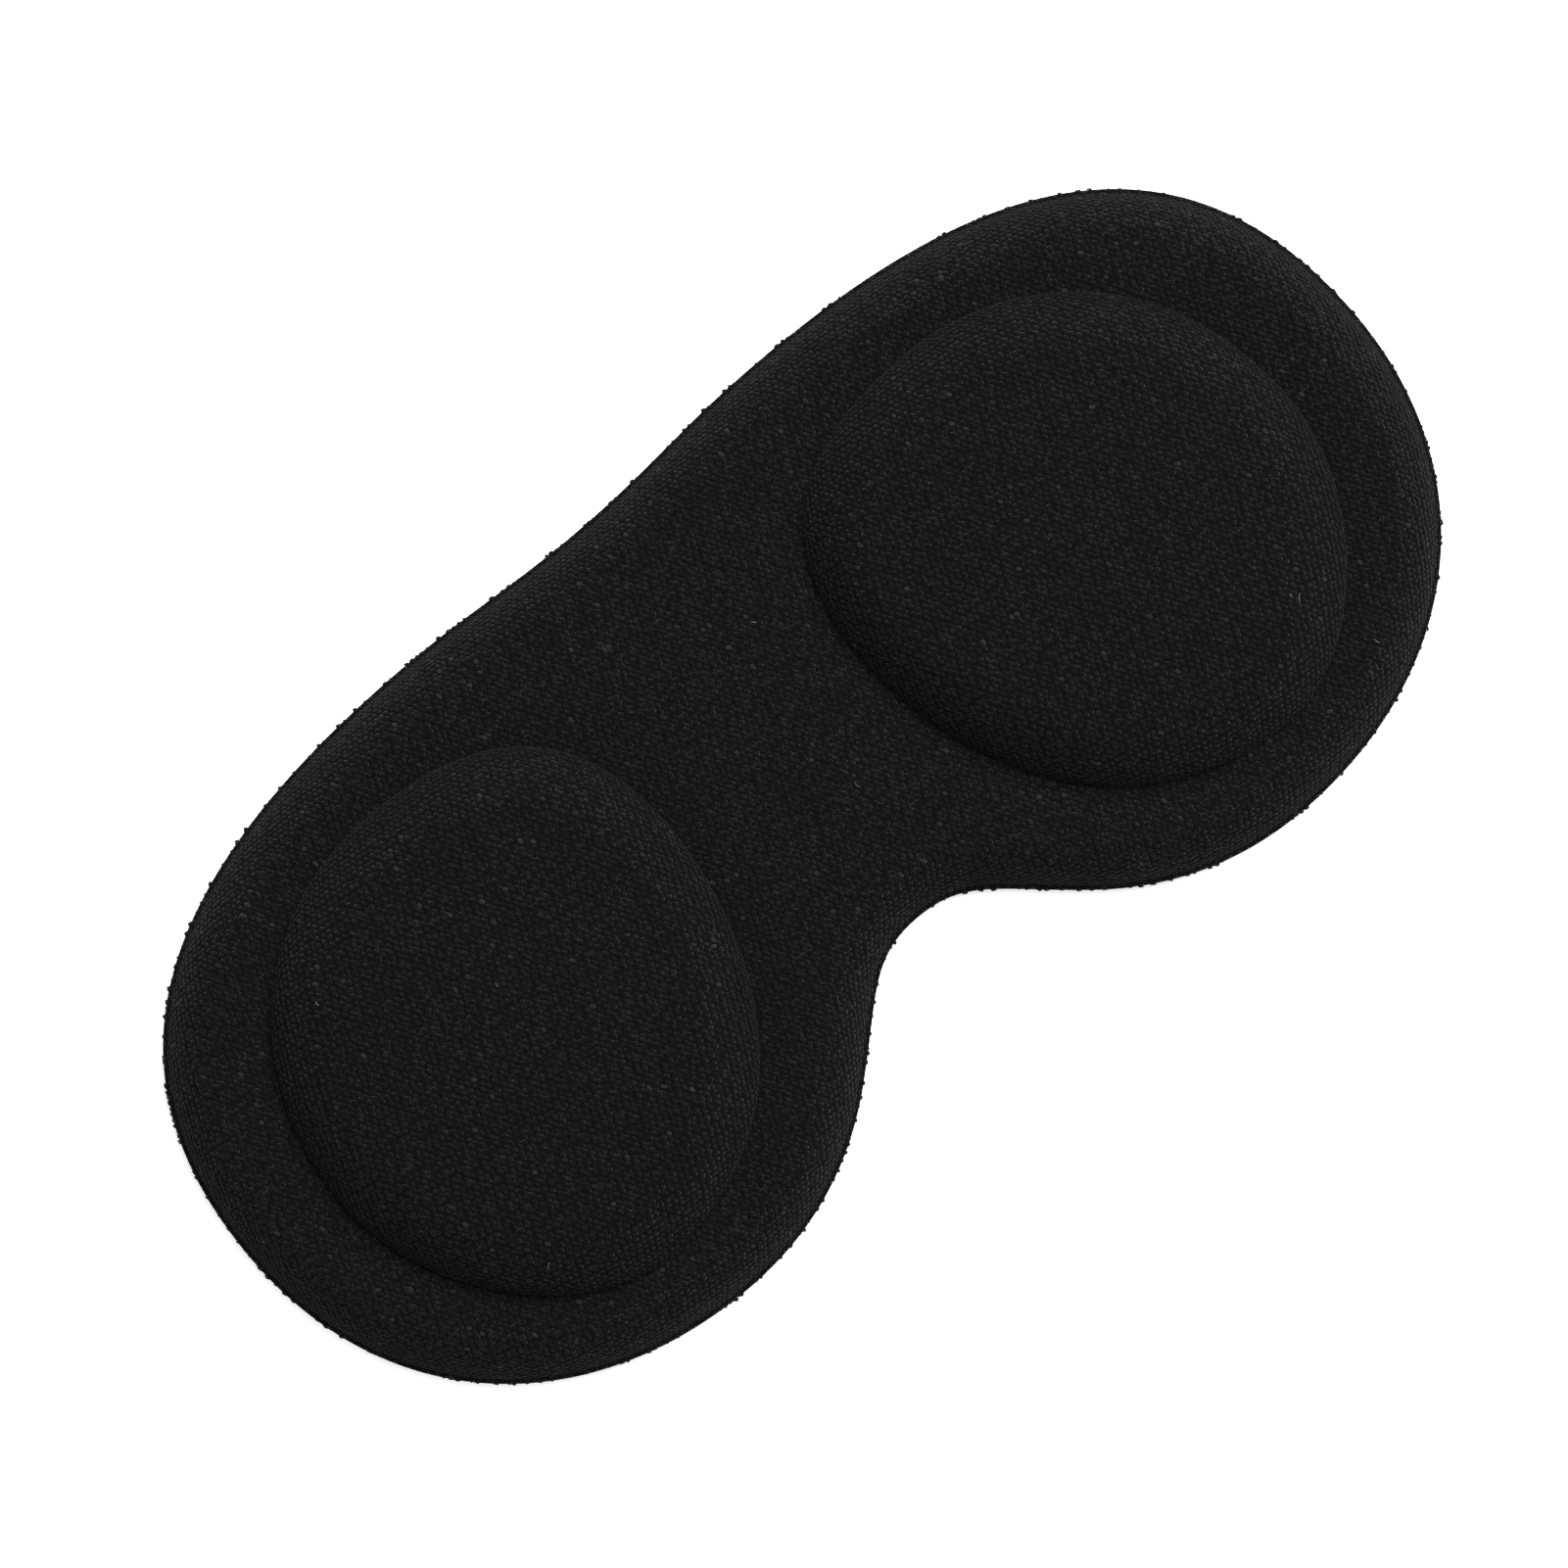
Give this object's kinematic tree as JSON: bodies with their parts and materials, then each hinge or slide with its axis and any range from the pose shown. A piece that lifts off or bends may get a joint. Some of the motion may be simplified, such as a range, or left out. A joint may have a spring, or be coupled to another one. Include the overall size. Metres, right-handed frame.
{
  "type": "padded lens cover",
  "caption": "Soft moulded cover for a pair of lenses: a foam sheet with two raised oval pads and a nose notch, faced with black knit.",
  "frame": {"origin": "on the flat back, at the middle of the cut outline's box", "axes": "+X along the length, +Y towards the brow edge, +Z out of the padded face"},
  "size_m": [0.15, 0.072, 0.01],
  "materials": {
    "face_knit": "fine matt black warp knit, heat-moulded over the foam",
    "brushed_lining": "black brushed loop cloth, flat, with a cut fuzzy edge",
    "core_foam": "dark grey closed-cell foam sheet",
    "pad_foam": "grey soft foam",
    "hot_melt_web": "off-white hot-melt adhesive web"
  },
  "bodies": {
    "root": {"back_lining": "brushed_lining", "lining_adhesive_web": "hot_melt_web", "foam_core": "core_foam", "pad_adhesive_left": "hot_melt_web", "pad_adhesive_right": "hot_melt_web", "lens_pad_left": "pad_foam", "lens_pad_right": "pad_foam", "face_adhesive_web": "hot_melt_web", "face_fabric": "face_knit"}
  },
  "joints": []
}
